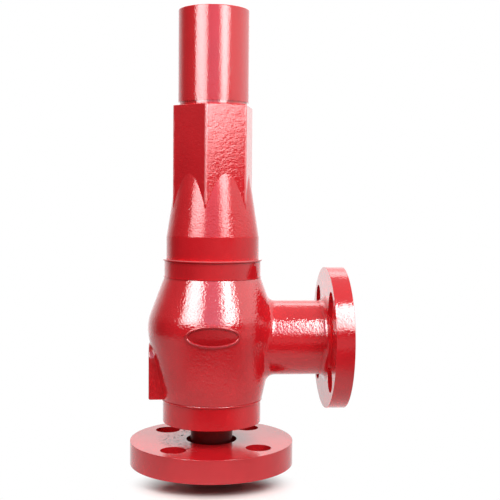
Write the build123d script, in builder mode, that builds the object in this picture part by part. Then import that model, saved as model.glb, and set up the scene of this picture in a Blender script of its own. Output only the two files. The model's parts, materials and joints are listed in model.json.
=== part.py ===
"""Pressure safety valve: angle body, closed bonnet, screwed cap and loose inlet flange.

Millimetres. The origin is the centre of the inlet sealing face, +Z runs up the
spindle and +X runs out through the side outlet.
"""
from build123d import *
import os

os.makedirs("parts", exist_ok=True)

# Clearances
fit_gap = 0.05
free_gap = 0.35
open_gap = 1.0

# Inlet: nozzle lap and the loose flange that hangs on it
lap_radius = 25.4
lap_thickness = 9.5
neck_radius = 16.0
inlet_bore_radius = 12.5
inlet_flange_radius = 62.0
inlet_flange_thickness = 17.5
inlet_bolt_circle_radius = 44.45
inlet_bolt_hole_radius = 9.525
inlet_flange_play = 3.25
inlet_flange_turn = 2.9
flange_edge = 0.3
bolt_count = 4

# Body casting, heights above the inlet face
body_bottom = 41.3
lower_collar_radius = 37.25
lower_collar_height = 16.7
lip_radius = 38.35
lip_height = 1.6
belly_radius = 50.3
belly_height = 114.9
belly_blend = 35.0
upper_collar_radius = 36.6
upper_collar_height = 12.7
fin_width = 0.5
fin_height = 0.7
body_top = 164.0
body_wall = 6.0
cavity_corner = 3.0
collar_edge = 0.4

# Outlet neck and fixed flange
outlet_height = 104.8
outlet_reach = 101.6
outlet_neck_radius = 28.35
outlet_cast_radius = 22.0
outlet_bore_radius = 17.0
outlet_bore_length = 26.0
outlet_taper = 14.0
outlet_flange_radius = 54.0
outlet_flange_thickness = 13.8
outlet_face_radius = 25.4
outlet_face_height = 1.6
outlet_bolt_circle_radius = 39.7
outlet_bolt_hole_radius = 9.525
neck_body_blend = 7.0
neck_flange_blend = 5.0

# Side pad with the drain plug and the lock screw of the blowdown ring
pad_reach = 48.0
pad_width = 26.0
pad_drop = 24.8
pad_rise = 3.3
pad_edge = 1.2
drain_drop = 15.0
plug_head_radius = 6.5
plug_head_length = 3.6
plug_sink = 0.3
plug_thread_radius = 5.0
plug_thread_length = 9.0
plug_key_across_flats = 6.0
plug_key_depth = 2.4
washer_thickness = 0.9
lock_shank_radius = 3.0
lock_pin_radius = 1.75
lock_pin_length = 8.0
lock_pin_tip_gap = 0.5

# Oval cartouche on the front, left bare
cartouche_length = 40.4
cartouche_width = 16.6
cartouche_rim = 2.1
cartouche_relief = 1.2
cartouche_edge = 0.8
cartouche_height = 111.9
cartouche_turn = -2.6

# Nozzle inside the body
nozzle_thread_radius = 18.0
nozzle_thread_relief = 2.0
nozzle_thread_length = 15.7
nozzle_gasket_thickness = 1.0
body_floor_thickness = 6.0
nozzle_stem_radius = 14.0
seat_height = 96.0
seat_land = 2.0
seat_bevel = 3.5
throat_radius = 6.35
throat_length = 24.0
inlet_straight = 14.0

# Blowdown ring on the nozzle
ring_thread_radius = 13.5
ring_outer_radius = 19.0
ring_height = 14.0
ring_drop = 1.0
ring_step = 4.0
ring_cup_radius = 16.5
notch_count = 16
notch_width = 4.1
notch_depth = 2.8
notch_height = 8.0

# Guide clamped between body and bonnet
guide_ledge_radius = 24.5
guide_ledge_thickness = 6.0
bonnet_thread_radius = 28.0
bonnet_thread_length = 15.0
guide_flange_thickness = 4.0
guide_bore_radius = 15.05
guide_wall = 4.2
guide_rise_gap = 5.2
guide_vent_radius = 1.6
guide_vent_count = 4

# Disc, its holder and the rings that keep them together
disc_lift = 4.0
disc_radius = 11.0
disc_thickness = 6.0
disc_bevel = 1.2
disc_relief = 0.8
disc_side_gap = 0.15
snap_height = 2.6
snap_thickness = 1.0
snap_bite = 1.2
ring_opening_angle = 24.0
holder_skirt_radius = 18.5
holder_skirt_height = 6.5
holder_skirt_gap = 1.5
holder_length = 36.0
holder_web = 6.0
socket_radius = 7.6
spindle_head_radius = 7.2
spindle_head_height = 7.0
spindle_radius = 5.0
spindle_reach = 12.0
spindle_tip_radius = 5.0
spindle_edge = 0.8
key_ring_thickness = 2.0
key_ring_bite = 1.1

# Spring and its washers
spring_seat_height = 8.2
spring_mean_radius = 17.0
spring_wire_radius = 2.25
spring_coils = 9.25
spring_washer_radius = 20.0
spring_washer_thickness = 5.0
pilot_height = 5.0
pilot_gap = 0.4
collar_ring_height = 2.2
collar_ring_drop = 0.4
collar_ring_bite = 0.8
collar_ring_radius = 7.5

# Bonnet
gasket_thickness = 1.2
gasket_overhang = 1.1
bonnet_band_radius = 35.15
bonnet_band_height = 17.0
bonnet_cone_radius = 34.85
bonnet_cone_slope = 0.158
hex_across_flats = 55.0
hex_turn = 17.0
bonnet_height = 114.1
hex_edge = 0.5
hex_corner = 0.9
chamber_radius = 21.5
bonnet_roof = 17.3
washer_headroom = 5.0
cap_seat_radius = 25.4
cap_seat_height = 1.3
cap_thread_radius = 22.0
cap_thread_length = 9.8

# Adjusting screw and lock nut
screw_radius = 10.0
screw_length = 50.0
screw_square = 13.0
screw_square_height = 8.0
nut_across_flats = 30.0
nut_height = 10.0
nut_bevel = 1.2

# Cap
cap_gasket_thickness = 1.5
cap_radius = 26.6
cap_height = 68.6
cap_wall = 5.0
cap_roof = 4.5
cap_edge = 0.7

# Levels and radii that follow from the sizes above
lip_bottom = body_bottom + lower_collar_height
lip_top = lip_bottom + lip_height
upper_collar_bottom = body_top - upper_collar_height
fin_radius = upper_collar_radius + fin_width
fin_top = upper_collar_bottom + fin_height
nozzle_shoulder = body_bottom + nozzle_thread_length
ledge_bottom = nozzle_shoulder + nozzle_gasket_thickness
body_floor = ledge_bottom + body_floor_thickness
bonnet_bottom = body_top + gasket_thickness
spigot_bottom = bonnet_bottom - bonnet_thread_length
guide_seat = spigot_bottom - guide_flange_thickness
guide_ledge_bottom = guide_seat - guide_ledge_thickness
band_top = bonnet_bottom + bonnet_band_height
hex_apothem = hex_across_flats / 2
hex_top = bonnet_bottom + bonnet_height
chamber_top = hex_top - bonnet_roof
cone_top = band_top + (bonnet_cone_radius - hex_apothem) / bonnet_cone_slope
cap_seat = hex_top + cap_seat_height
cap_bottom = cap_seat + cap_gasket_thickness
cap_top = cap_bottom + cap_height
neck_top = cap_bottom + cap_thread_length
ring_top = seat_height - ring_drop
ring_bottom = ring_top - ring_height
lock_height = ring_bottom + notch_height / 2
drain_height = lock_height - drain_drop
pad_bottom = lock_height - pad_drop
pad_arch_height = lock_height + pad_rise
plug_seat = pad_reach - plug_sink - plug_head_length - washer_thickness
disc_top = seat_height + disc_thickness
snap_bottom = seat_height + snap_height
skirt_bottom = seat_height + holder_skirt_gap
skirt_top = skirt_bottom + holder_skirt_height
guide_bottom = skirt_top + disc_lift + guide_rise_gap
holder_top = disc_top + holder_length
holder_radius = guide_bore_radius - fit_gap
socket_floor = disc_top + holder_web
head_bottom = socket_floor + spindle_tip_radius
head_top = head_bottom + spindle_head_height
spring_bottom = bonnet_bottom + spring_seat_height
lower_washer_bottom = spring_bottom - spring_washer_thickness
collar_bottom = lower_washer_bottom - collar_ring_drop
upper_washer_top = chamber_top - washer_headroom
spring_top = upper_washer_top - spring_washer_thickness
pilot_radius = spring_mean_radius - spring_wire_radius - pilot_gap
screw_top = upper_washer_top + screw_length
spindle_top = screw_top + screw_square_height + spindle_reach
flange_back = outlet_reach - outlet_face_height - outlet_flange_thickness
outlet_axis = Axis((0, 0, outlet_height), (1, 0, 0))


def casting_section(skin):
    """Half section of the casting from its lip to its upper collar, grown by skin."""
    with BuildSketch(Plane.XZ) as section:
        with BuildLine():
            Polyline(
                (0, lip_top),
                (lip_radius + skin, lip_top),
                (belly_radius + skin, belly_height),
                (upper_collar_radius + skin, upper_collar_bottom),
                (0, upper_collar_bottom),
                close=True,
            )
        make_face()
        widest = section.vertices().sort_by(Axis.X)[-1]
        fillet(widest, belly_blend)
    return section.sketch


def ring_section(inner, outer, bottom, top):
    """Rectangular half section of a turned ring or disc."""
    with BuildSketch(Plane.XZ) as section:
        with BuildLine():
            Polyline((inner, bottom), (outer, bottom), (outer, top), (inner, top), close=True)
        make_face()
    return section.sketch


def lip_section():
    """Half section of the lip: a ring with a half round rim."""
    rim_radius = lip_height / 2
    with BuildSketch(Plane.XZ) as section:
        add(ring_section(0, lip_radius - rim_radius, lip_bottom, lip_top))
        with Locations((lip_radius - rim_radius, lip_bottom + rim_radius)):
            Circle(rim_radius)
    return section.sketch


def circle_edges(part, radius):
    """Round edges of one radius."""
    rounds = part.edges().filter_by(GeomType.CIRCLE)
    return rounds.filter_by(lambda edge: abs(edge.radius - radius) < fit_gap)


# Inlet nozzle: lap, neck, thread and seat in one piece
with BuildPart() as inlet_nozzle:
    with BuildSketch(Plane.XZ):
        with BuildLine():
            Polyline(
                (inlet_bore_radius, 0),
                (lap_radius, 0),
                (lap_radius, lap_thickness),
                (neck_radius, lap_thickness),
                (neck_radius, body_bottom + nozzle_thread_relief),
                (nozzle_thread_radius - fit_gap, body_bottom + nozzle_thread_relief),
                (nozzle_thread_radius - fit_gap, nozzle_shoulder),
                (nozzle_stem_radius, nozzle_shoulder),
                (nozzle_stem_radius, ring_bottom - ring_step),
                (ring_thread_radius, ring_bottom - ring_step),
                (ring_thread_radius, seat_height - seat_bevel),
                (throat_radius + seat_land, seat_height),
                (throat_radius, seat_height),
                (throat_radius, seat_height - throat_length),
                (inlet_bore_radius, inlet_straight),
                close=True,
            )
        make_face()
    revolve(axis=Axis.Z)

# Seal between the nozzle's shoulder and the body
with BuildPart() as nozzle_gasket:
    seal_inside = nozzle_stem_radius + fit_gap
    seal_outside = nozzle_thread_radius - fit_gap
    add(ring_section(seal_inside, seal_outside, nozzle_shoulder, ledge_bottom))
    revolve(axis=Axis.Z)

# Loose inlet flange, free to turn about the nozzle neck
with BuildPart() as inlet_flange:
    with BuildSketch(Plane.XY.offset(lap_thickness)):
        Circle(inlet_flange_radius)
        Circle(neck_radius + inlet_flange_play, mode=Mode.SUBTRACT)
        first_hole = 180 / bolt_count + inlet_flange_turn
        with PolarLocations(inlet_bolt_circle_radius, bolt_count, start_angle=first_hole):
            Circle(inlet_bolt_hole_radius, mode=Mode.SUBTRACT)
    extrude(amount=inlet_flange_thickness)
    fillet(circle_edges(inlet_flange, inlet_flange_radius), flange_edge)

# Pad for the two screws: straight sides, arched top, flat outer face with rounded edges
with BuildPart() as pad:
    half_pad = pad_width / 2
    with BuildSketch(Plane.YZ.offset(-pad_reach)):
        with BuildLine():
            Polyline(
                (-half_pad, pad_arch_height),
                (-half_pad, pad_bottom),
                (half_pad, pad_bottom),
                (half_pad, pad_arch_height),
            )
            ThreePointArc(
                (half_pad, pad_arch_height),
                (0, pad_arch_height + half_pad),
                (-half_pad, pad_arch_height),
            )
        make_face()
    extrude(amount=pad_reach / 2)
    fillet(pad.faces().sort_by(Axis.X)[0].edges(), pad_edge)

# Rim of the cartouche, standing out of the casting by the same height all round
with BuildPart() as cartouche:
    add(casting_section(cartouche_relief))
    revolve(axis=Axis.Z)
    with BuildSketch(Plane.XZ):
        with Locations((0, cartouche_height)):
            Ellipse(cartouche_length / 2, cartouche_width / 2)
            inner_length = cartouche_length - 2 * cartouche_rim
            inner_width = cartouche_width - 2 * cartouche_rim
            Ellipse(inner_length / 2, inner_width / 2, mode=Mode.SUBTRACT)
    extrude(amount=belly_radius + cartouche_relief, mode=Mode.INTERSECT)
    crests = cartouche.edges().filter_by(lambda edge: edge.center().Y < -belly_radius / 2)
    fillet(crests, cartouche_edge)

# Hollow of the casting between its floor and the guide ledge
with BuildPart() as cavity:
    add(casting_section(-body_wall))
    revolve(axis=Axis.Z)
    split(bisect_by=Plane.XY.offset(body_floor), keep=Keep.TOP)
    split(bisect_by=Plane.XY.offset(guide_ledge_bottom), keep=Keep.BOTTOM)
    ends = cavity.faces().filter_by(GeomType.PLANE).edges()
    fillet(ends, cavity_corner)

# Outlet passage: cast bore, taper and straight bore at the flange
with BuildPart() as outlet_passage:
    with BuildSketch(Plane.XZ):
        with BuildLine():
            bore_start = outlet_reach - outlet_bore_length
            Polyline(
                (0, outlet_height),
                (0, outlet_height + outlet_cast_radius),
                (bore_start - outlet_taper, outlet_height + outlet_cast_radius),
                (bore_start, outlet_height + outlet_bore_radius),
                (outlet_reach, outlet_height + outlet_bore_radius),
                (outlet_reach, outlet_height),
                close=True,
            )
        make_face()
    revolve(axis=outlet_axis)

# Body casting with its outlet neck, flange, side pad and bare cartouche
with BuildPart() as body:
    add(casting_section(0))
    revolve(axis=Axis.Z)
    with BuildSketch(Plane.YZ):
        with Locations((0, outlet_height)):
            Circle(outlet_neck_radius)
    extrude(amount=flange_back)
    fillet(body.edges(Select.NEW), neck_body_blend)
    with BuildSketch(Plane.YZ.offset(flange_back)):
        with Locations((0, outlet_height)):
            Circle(outlet_flange_radius)
    extrude(amount=outlet_flange_thickness)
    neck_end = circle_edges(body, outlet_neck_radius).sort_by(Axis.X)[-1]
    fillet(neck_end, neck_flange_blend)
    fillet(circle_edges(body, outlet_flange_radius), flange_edge)
    with BuildSketch(Plane.YZ.offset(outlet_reach - outlet_face_height)):
        with Locations((0, outlet_height)):
            Circle(outlet_face_radius)
    extrude(amount=outlet_face_height)
    add(pad.part)
    # Turned collars above and below the rough casting
    add(ring_section(0, lower_collar_radius, body_bottom, lip_bottom))
    add(lip_section())
    add(ring_section(0, upper_collar_radius, upper_collar_bottom, body_top))
    add(ring_section(0, fin_radius, upper_collar_bottom, fin_top))
    revolve(axis=Axis.Z)
    collar_rims = [circle_edges(body, lower_collar_radius).sort_by(Axis.Z)[0]]
    collar_rims.append(circle_edges(body, upper_collar_radius).sort_by(Axis.Z)[-1])
    chamfer(collar_rims, collar_edge)
    add(cartouche.part.rotate(Axis.Z, cartouche_turn))
    add(cavity.part, mode=Mode.SUBTRACT)
    add(outlet_passage.part, mode=Mode.SUBTRACT)
    # Turned bores for the nozzle, the guide and the bonnet
    add(ring_section(0, nozzle_thread_radius, body_bottom, ledge_bottom))
    add(ring_section(0, nozzle_stem_radius + fit_gap, ledge_bottom, body_floor))
    add(ring_section(0, guide_ledge_radius, guide_ledge_bottom, guide_seat))
    add(ring_section(0, bonnet_thread_radius, guide_seat, body_top))
    revolve(axis=Axis.Z, mode=Mode.SUBTRACT)
    # Bolt holes of the outlet flange
    with BuildSketch(Plane.YZ.offset(outlet_reach)):
        with Locations((0, outlet_height)):
            with PolarLocations(outlet_bolt_circle_radius, bolt_count, start_angle=180 / bolt_count):
                Circle(outlet_bolt_hole_radius)
    extrude(amount=-(outlet_face_height + outlet_flange_thickness + neck_flange_blend), mode=Mode.SUBTRACT)
    # Tapped holes in the pad, each with a counterbore for its sunk head
    with BuildSketch(Plane.YZ.offset(-pad_reach)):
        with Locations((0, drain_height), (0, lock_height)):
            Circle(plug_head_radius + free_gap)
    extrude(amount=pad_reach - plug_seat, mode=Mode.SUBTRACT)
    with BuildSketch(Plane.YZ.offset(-pad_reach)):
        with Locations((0, drain_height), (0, lock_height)):
            Circle(plug_thread_radius + fit_gap)
    extrude(amount=pad_reach / 2, mode=Mode.SUBTRACT)


def sunk_screw(height, *tail):
    """Screw of the pad: round head with a hexagon socket, thread, then its tail's corners."""
    face = plug_seat + washer_thickness + plug_head_length
    head = plug_seat + washer_thickness
    with BuildPart() as screw:
        with BuildSketch(Plane.XZ):
            with BuildLine():
                Polyline(
                    (-face, height),
                    (-face, height + plug_head_radius),
                    (-head, height + plug_head_radius),
                    (-head, height + plug_thread_radius),
                    (plug_thread_length - head, height + plug_thread_radius),
                    *tail,
                    close=True,
                )
            make_face()
        revolve(axis=Axis((0, 0, height), (1, 0, 0)))
        with BuildSketch(Plane.YZ.offset(-face)):
            with Locations((0, height)):
                RegularPolygon(plug_key_across_flats / 2, 6, major_radius=False)
        extrude(amount=plug_key_depth, mode=Mode.SUBTRACT)
    return screw


def screw_seal(height):
    """Washer under the head of a screw of the pad."""
    with BuildPart() as seal:
        with BuildSketch(Plane.YZ.offset(-plug_seat)):
            with Locations((0, height)):
                Circle(plug_head_radius)
                Circle(plug_thread_radius + fit_gap, mode=Mode.SUBTRACT)
        extrude(amount=-washer_thickness)
    return seal


# Drain plug, low in the pad
thread_tip = plug_seat + washer_thickness - plug_thread_length
drain_plug = sunk_screw(drain_height, (-thread_tip, drain_height))
drain_seal = screw_seal(drain_height)

# Lock screw of the blowdown ring: thread, shank and a pin that stands in a notch
pin_tip = ring_outer_radius - notch_depth + lock_pin_tip_gap
pin_root = pin_tip + lock_pin_length
ring_lock_screw = sunk_screw(
    lock_height,
    (-thread_tip, lock_height + lock_shank_radius),
    (-pin_root, lock_height + lock_shank_radius),
    (-pin_root, lock_height + lock_pin_radius),
    (-pin_tip, lock_height + lock_pin_radius),
    (-pin_tip, lock_height),
)
lock_screw_seal = screw_seal(lock_height)

# Blowdown ring: threaded on the nozzle, cupped on top, notched round its skirt
with BuildPart() as blowdown_ring:
    with BuildSketch(Plane.XZ):
        with BuildLine():
            Polyline(
                (ring_thread_radius + fit_gap, ring_bottom),
                (ring_outer_radius, ring_bottom),
                (ring_outer_radius, ring_top),
                (ring_cup_radius, ring_top),
                (ring_thread_radius + fit_gap, ring_top - ring_step),
                close=True,
            )
        make_face()
    revolve(axis=Axis.Z)
    with BuildSketch(Plane.XY.offset(ring_bottom)):
        with PolarLocations(ring_outer_radius, notch_count):
            Rectangle(2 * notch_depth, notch_width)
    extrude(amount=notch_height, mode=Mode.SUBTRACT)

# Guide: flange on the body's ledge and the sleeve that the disc holder slides in
with BuildPart() as guide:
    with BuildSketch(Plane.XZ):
        with BuildLine():
            guide_flange_radius = bonnet_thread_radius - free_gap
            sleeve_radius = guide_bore_radius + guide_wall
            Polyline(
                (guide_bore_radius, guide_bottom),
                (sleeve_radius, guide_bottom),
                (sleeve_radius, guide_seat),
                (guide_flange_radius, guide_seat),
                (guide_flange_radius, spigot_bottom),
                (guide_bore_radius, spigot_bottom),
                close=True,
            )
        make_face()
    revolve(axis=Axis.Z)
    with BuildSketch(Plane.XY.offset(guide_seat)):
        with PolarLocations((sleeve_radius + guide_ledge_radius) / 2, guide_vent_count):
            Circle(guide_vent_radius)
    extrude(amount=guide_flange_thickness, mode=Mode.SUBTRACT)

# Disc: flat sealing face, relieved centre, groove for its snap ring
with BuildPart() as disc:
    with BuildSketch(Plane.XZ):
        with BuildLine():
            Polyline(
                (0, seat_height + disc_relief),
                (throat_radius - disc_relief, seat_height + disc_relief),
                (throat_radius, seat_height),
                (disc_radius - disc_bevel, seat_height),
                (disc_radius, seat_height + disc_bevel),
                (disc_radius, snap_bottom - fit_gap),
                (disc_radius - snap_bite, snap_bottom - fit_gap),
                (disc_radius - snap_bite, snap_bottom + snap_thickness + fit_gap),
                (disc_radius, snap_bottom + snap_thickness + fit_gap),
                (disc_radius, disc_top),
                (0, disc_top),
                close=True,
            )
        make_face()
    revolve(axis=Axis.Z)

# Snap ring that holds the disc in its holder
with BuildPart() as disc_snap_ring:
    snap_inside = disc_radius - snap_bite + fit_gap
    snap_outside = disc_radius + snap_bite
    add(ring_section(snap_inside, snap_outside, snap_bottom, snap_bottom + snap_thickness))
    revolve(axis=Axis.Z, revolution_arc=360 - ring_opening_angle)

# Disc holder: skirt over the disc, stem in the guide, socket for the spindle head
with BuildPart() as disc_holder:
    with BuildSketch(Plane.XZ):
        with BuildLine():
            pocket_radius = disc_radius + disc_side_gap
            groove_radius = snap_outside + fit_gap
            key_radius = socket_radius + key_ring_bite + fit_gap
            Polyline(
                (0, disc_top),
                (pocket_radius, disc_top),
                (pocket_radius, snap_bottom + snap_thickness + fit_gap),
                (groove_radius, snap_bottom + snap_thickness + fit_gap),
                (groove_radius, snap_bottom - fit_gap),
                (pocket_radius, snap_bottom - fit_gap),
                (pocket_radius, skirt_bottom),
                (holder_skirt_radius, skirt_bottom),
                (holder_skirt_radius, skirt_top),
                (holder_radius, skirt_top),
                (holder_radius, holder_top),
                (socket_radius, holder_top),
                (socket_radius, head_top + key_ring_thickness + 2 * fit_gap),
                (key_radius, head_top + key_ring_thickness + 2 * fit_gap),
                (key_radius, head_top),
                (socket_radius, head_top),
                (socket_radius, socket_floor),
                (0, socket_floor),
                close=True,
            )
        make_face()
    revolve(axis=Axis.Z)

# Spindle: ball tip and head in the holder's socket, groove for the washer collar
with BuildPart() as spindle:
    with BuildSketch(Plane.XZ):
        with BuildLine():
            tip = CenterArc((0, head_bottom), spindle_tip_radius, -90, 90)
            groove = spindle_radius - collar_ring_bite
            Polyline(
                tip @ 1,
                (spindle_head_radius, head_bottom),
                (spindle_head_radius, head_top),
                (spindle_radius, head_top),
                (spindle_radius, collar_bottom),
                (groove, collar_bottom),
                (groove, collar_bottom + collar_ring_height),
                (spindle_radius, collar_bottom + collar_ring_height),
                (spindle_radius, spindle_top - spindle_edge),
                (spindle_radius - spindle_edge, spindle_top),
                (0, spindle_top),
                tip @ 0,
            )
        make_face()
    revolve(axis=Axis.Z)

# Key ring that keeps the spindle's head in the holder
with BuildPart() as spindle_key_ring:
    key_bottom = head_top + fit_gap
    key_inside = spindle_radius + free_gap
    key_outside = socket_radius + key_ring_bite
    add(ring_section(key_inside, key_outside, key_bottom, key_bottom + key_ring_thickness))
    revolve(axis=Axis.Z, revolution_arc=360 - ring_opening_angle)

# Collar in two halves that carries the lower spring washer on the spindle
with BuildPart() as spindle_collar:
    collar_inside = spindle_radius - collar_ring_bite + fit_gap
    add(ring_section(collar_inside, collar_ring_radius, collar_bottom, collar_bottom + collar_ring_height))
    revolve(axis=Axis.Z)
    with BuildSketch(Plane.XY.offset(collar_bottom)):
        Rectangle(free_gap, 2 * collar_ring_radius + open_gap)
    extrude(amount=collar_ring_height, mode=Mode.SUBTRACT)

# Lower spring washer: plate, pilot inside the spring and recess for the collar
with BuildPart() as lower_spring_washer:
    with BuildSketch(Plane.XZ):
        with BuildLine():
            recess_radius = collar_ring_radius + fit_gap
            recess_top = collar_bottom + collar_ring_height
            Polyline(
                (recess_radius, lower_washer_bottom),
                (spring_washer_radius, lower_washer_bottom),
                (spring_washer_radius, spring_bottom),
                (pilot_radius, spring_bottom),
                (pilot_radius, spring_bottom + pilot_height),
                (spindle_radius + fit_gap, spring_bottom + pilot_height),
                (spindle_radius + fit_gap, recess_top),
                (recess_radius, recess_top),
                close=True,
            )
        make_face()
    revolve(axis=Axis.Z)

# Upper spring washer: plate under the adjusting screw, pilot inside the spring
with BuildPart() as upper_spring_washer:
    with BuildSketch(Plane.XZ):
        with BuildLine():
            Polyline(
                (spindle_radius + free_gap, spring_top - pilot_height),
                (pilot_radius, spring_top - pilot_height),
                (pilot_radius, spring_top),
                (spring_washer_radius, spring_top),
                (spring_washer_radius, upper_washer_top),
                (spindle_radius + free_gap, upper_washer_top),
                close=True,
            )
        make_face()
    revolve(axis=Axis.Z)

# Set spring: round wire coil with its end faces ground flat
with BuildPart() as spring:
    spring_length = spring_top - spring_bottom
    with BuildLine():
        coil = Helix(
            pitch=spring_length / spring_coils,
            height=spring_length,
            radius=spring_mean_radius,
            center=(0, 0, spring_bottom),
        )
    with BuildSketch(Plane(origin=coil @ 0, z_dir=coil % 0)):
        Circle(spring_wire_radius)
    sweep(is_frenet=True)
    split(bisect_by=Plane.XY.offset(spring_bottom), keep=Keep.TOP)
    split(bisect_by=Plane.XY.offset(spring_top), keep=Keep.BOTTOM)

# Gasket between body and bonnet, its edge standing proud all round
with BuildPart() as bonnet_gasket:
    gasket_inside = bonnet_thread_radius + free_gap
    add(ring_section(gasket_inside, upper_collar_radius + gasket_overhang, body_top, bonnet_bottom))
    revolve(axis=Axis.Z)

# Bonnet: threaded spigot, turned band and cone that run out into a hexagon
with BuildPart() as bonnet:
    with BuildSketch(Plane.XZ):
        with BuildLine():
            Polyline(
                (0, spigot_bottom),
                (bonnet_thread_radius - fit_gap, spigot_bottom),
                (bonnet_thread_radius - fit_gap, bonnet_bottom),
                (bonnet_band_radius, bonnet_bottom),
                (bonnet_band_radius, band_top),
                (bonnet_cone_radius, band_top),
                (hex_apothem, cone_top),
                (0, cone_top),
                close=True,
            )
        make_face()
    revolve(axis=Axis.Z)
    with BuildSketch(Plane.XY.offset(band_top)) as hexagon:
        RegularPolygon(hex_apothem, 6, major_radius=False, rotation=hex_turn)
        fillet(hexagon.vertices(), hex_corner)
    extrude(amount=hex_top - band_top)
    fillet(bonnet.faces().sort_by(Axis.Z)[-1].edges(), hex_edge)
    add(ring_section(0, cap_seat_radius, hex_top, cap_seat))
    add(ring_section(0, cap_thread_radius, cap_seat, neck_top))
    revolve(axis=Axis.Z)
    add(ring_section(0, chamber_radius, spigot_bottom, chamber_top))
    add(ring_section(0, screw_radius, chamber_top, neck_top))
    revolve(axis=Axis.Z, mode=Mode.SUBTRACT)

# Adjusting screw: hollow for the spindle, with a square on top for the spanner
with BuildPart() as adjusting_screw:
    add(ring_section(spindle_radius + free_gap, screw_radius - fit_gap, upper_washer_top, screw_top))
    revolve(axis=Axis.Z)
    with BuildSketch(Plane.XY.offset(screw_top)):
        Rectangle(screw_square, screw_square)
        Circle(spindle_radius + free_gap, mode=Mode.SUBTRACT)
    extrude(amount=screw_square_height)

# Lock nut on the bonnet neck, corners turned off at both ends
with BuildPart() as lock_nut:
    with BuildSketch(Plane.XY.offset(neck_top)):
        RegularPolygon(nut_across_flats / 2, 6, major_radius=False)
    extrude(amount=nut_height)
    with BuildSketch(Plane.XZ):
        with BuildLine():
            nut_face = nut_across_flats / 2
            nut_corner = nut_across_flats
            Polyline(
                (screw_radius, neck_top),
                (nut_face, neck_top),
                (nut_corner, neck_top + nut_bevel * nut_corner / nut_face),
                (nut_corner, neck_top + nut_height - nut_bevel * nut_corner / nut_face),
                (nut_face, neck_top + nut_height),
                (screw_radius, neck_top + nut_height),
                close=True,
            )
        make_face()
    revolve(axis=Axis.Z, mode=Mode.INTERSECT)

# Seal between cap and bonnet
with BuildPart() as cap_gasket:
    add(ring_section(cap_thread_radius + free_gap, cap_seat_radius, cap_seat, cap_bottom))
    revolve(axis=Axis.Z)

# Cap: closed cylinder screwed over the bonnet neck
with BuildPart() as cap:
    with BuildSketch(Plane.XZ):
        with BuildLine():
            Polyline(
                (cap_thread_radius + fit_gap, cap_bottom),
                (cap_radius, cap_bottom),
                (cap_radius, cap_top),
                (0, cap_top),
                (0, cap_top - cap_roof),
                (cap_radius - cap_wall, cap_top - cap_roof),
                (cap_radius - cap_wall, neck_top + open_gap),
                (cap_thread_radius + fit_gap, neck_top + open_gap),
                close=True,
            )
        make_face()
    revolve(axis=Axis.Z)
    fillet(cap.edges().filter_by(GeomType.CIRCLE).sort_by(Axis.Z)[-1], cap_edge)

pieces = {
    "body": body,
    "inlet_nozzle": inlet_nozzle,
    "nozzle_gasket": nozzle_gasket,
    "inlet_flange": inlet_flange,
    "drain_plug": drain_plug,
    "drain_seal": drain_seal,
    "ring_lock_screw": ring_lock_screw,
    "lock_screw_seal": lock_screw_seal,
    "blowdown_ring": blowdown_ring,
    "guide": guide,
    "disc": disc,
    "disc_snap_ring": disc_snap_ring,
    "disc_holder": disc_holder,
    "spindle": spindle,
    "spindle_key_ring": spindle_key_ring,
    "spindle_collar": spindle_collar,
    "lower_spring_washer": lower_spring_washer,
    "spring": spring,
    "upper_spring_washer": upper_spring_washer,
    "bonnet_gasket": bonnet_gasket,
    "bonnet": bonnet,
    "adjusting_screw": adjusting_screw,
    "lock_nut": lock_nut,
    "cap_gasket": cap_gasket,
    "cap": cap,
}
for name, piece in pieces.items():
    piece.part.label = name
    export_step(piece.part, f"parts/{name}.step")
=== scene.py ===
"""Looks of the pressure safety valve: red enamel over castings and turned steel, in a pale studio."""
import json
from math import cos, pi, radians, sin

import bmesh
import bpy
from mathutils import Matrix, Vector


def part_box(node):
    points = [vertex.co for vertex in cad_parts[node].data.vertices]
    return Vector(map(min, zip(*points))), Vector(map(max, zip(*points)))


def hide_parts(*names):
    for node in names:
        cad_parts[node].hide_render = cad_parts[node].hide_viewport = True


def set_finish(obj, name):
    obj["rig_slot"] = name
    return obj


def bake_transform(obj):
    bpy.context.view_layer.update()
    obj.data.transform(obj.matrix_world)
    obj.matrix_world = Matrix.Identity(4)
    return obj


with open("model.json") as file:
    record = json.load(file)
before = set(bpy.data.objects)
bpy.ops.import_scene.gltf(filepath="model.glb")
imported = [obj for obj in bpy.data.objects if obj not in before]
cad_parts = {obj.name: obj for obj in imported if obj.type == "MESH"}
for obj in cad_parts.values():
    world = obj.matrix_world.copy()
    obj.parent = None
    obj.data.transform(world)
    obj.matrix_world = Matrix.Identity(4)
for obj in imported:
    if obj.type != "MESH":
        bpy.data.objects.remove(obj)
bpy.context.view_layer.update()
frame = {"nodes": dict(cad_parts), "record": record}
NODES = frame["nodes"]
MM = 0.001

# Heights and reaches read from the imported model, in metres
BODY_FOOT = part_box("body")[0].z
GASKET_LOW, GASKET_HIGH = (corner.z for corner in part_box("bonnet_gasket"))
FLANGE_RADIUS, _, FLANGE_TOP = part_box("inlet_flange")[1]
CAP_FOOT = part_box("cap")[0].z
MOUNTS = {mount["name"]: mount for mount in frame["record"]["mounts"]}
OUTLET_REACH = MOUNTS["outlet_face"]["pos_m"][0]

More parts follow.
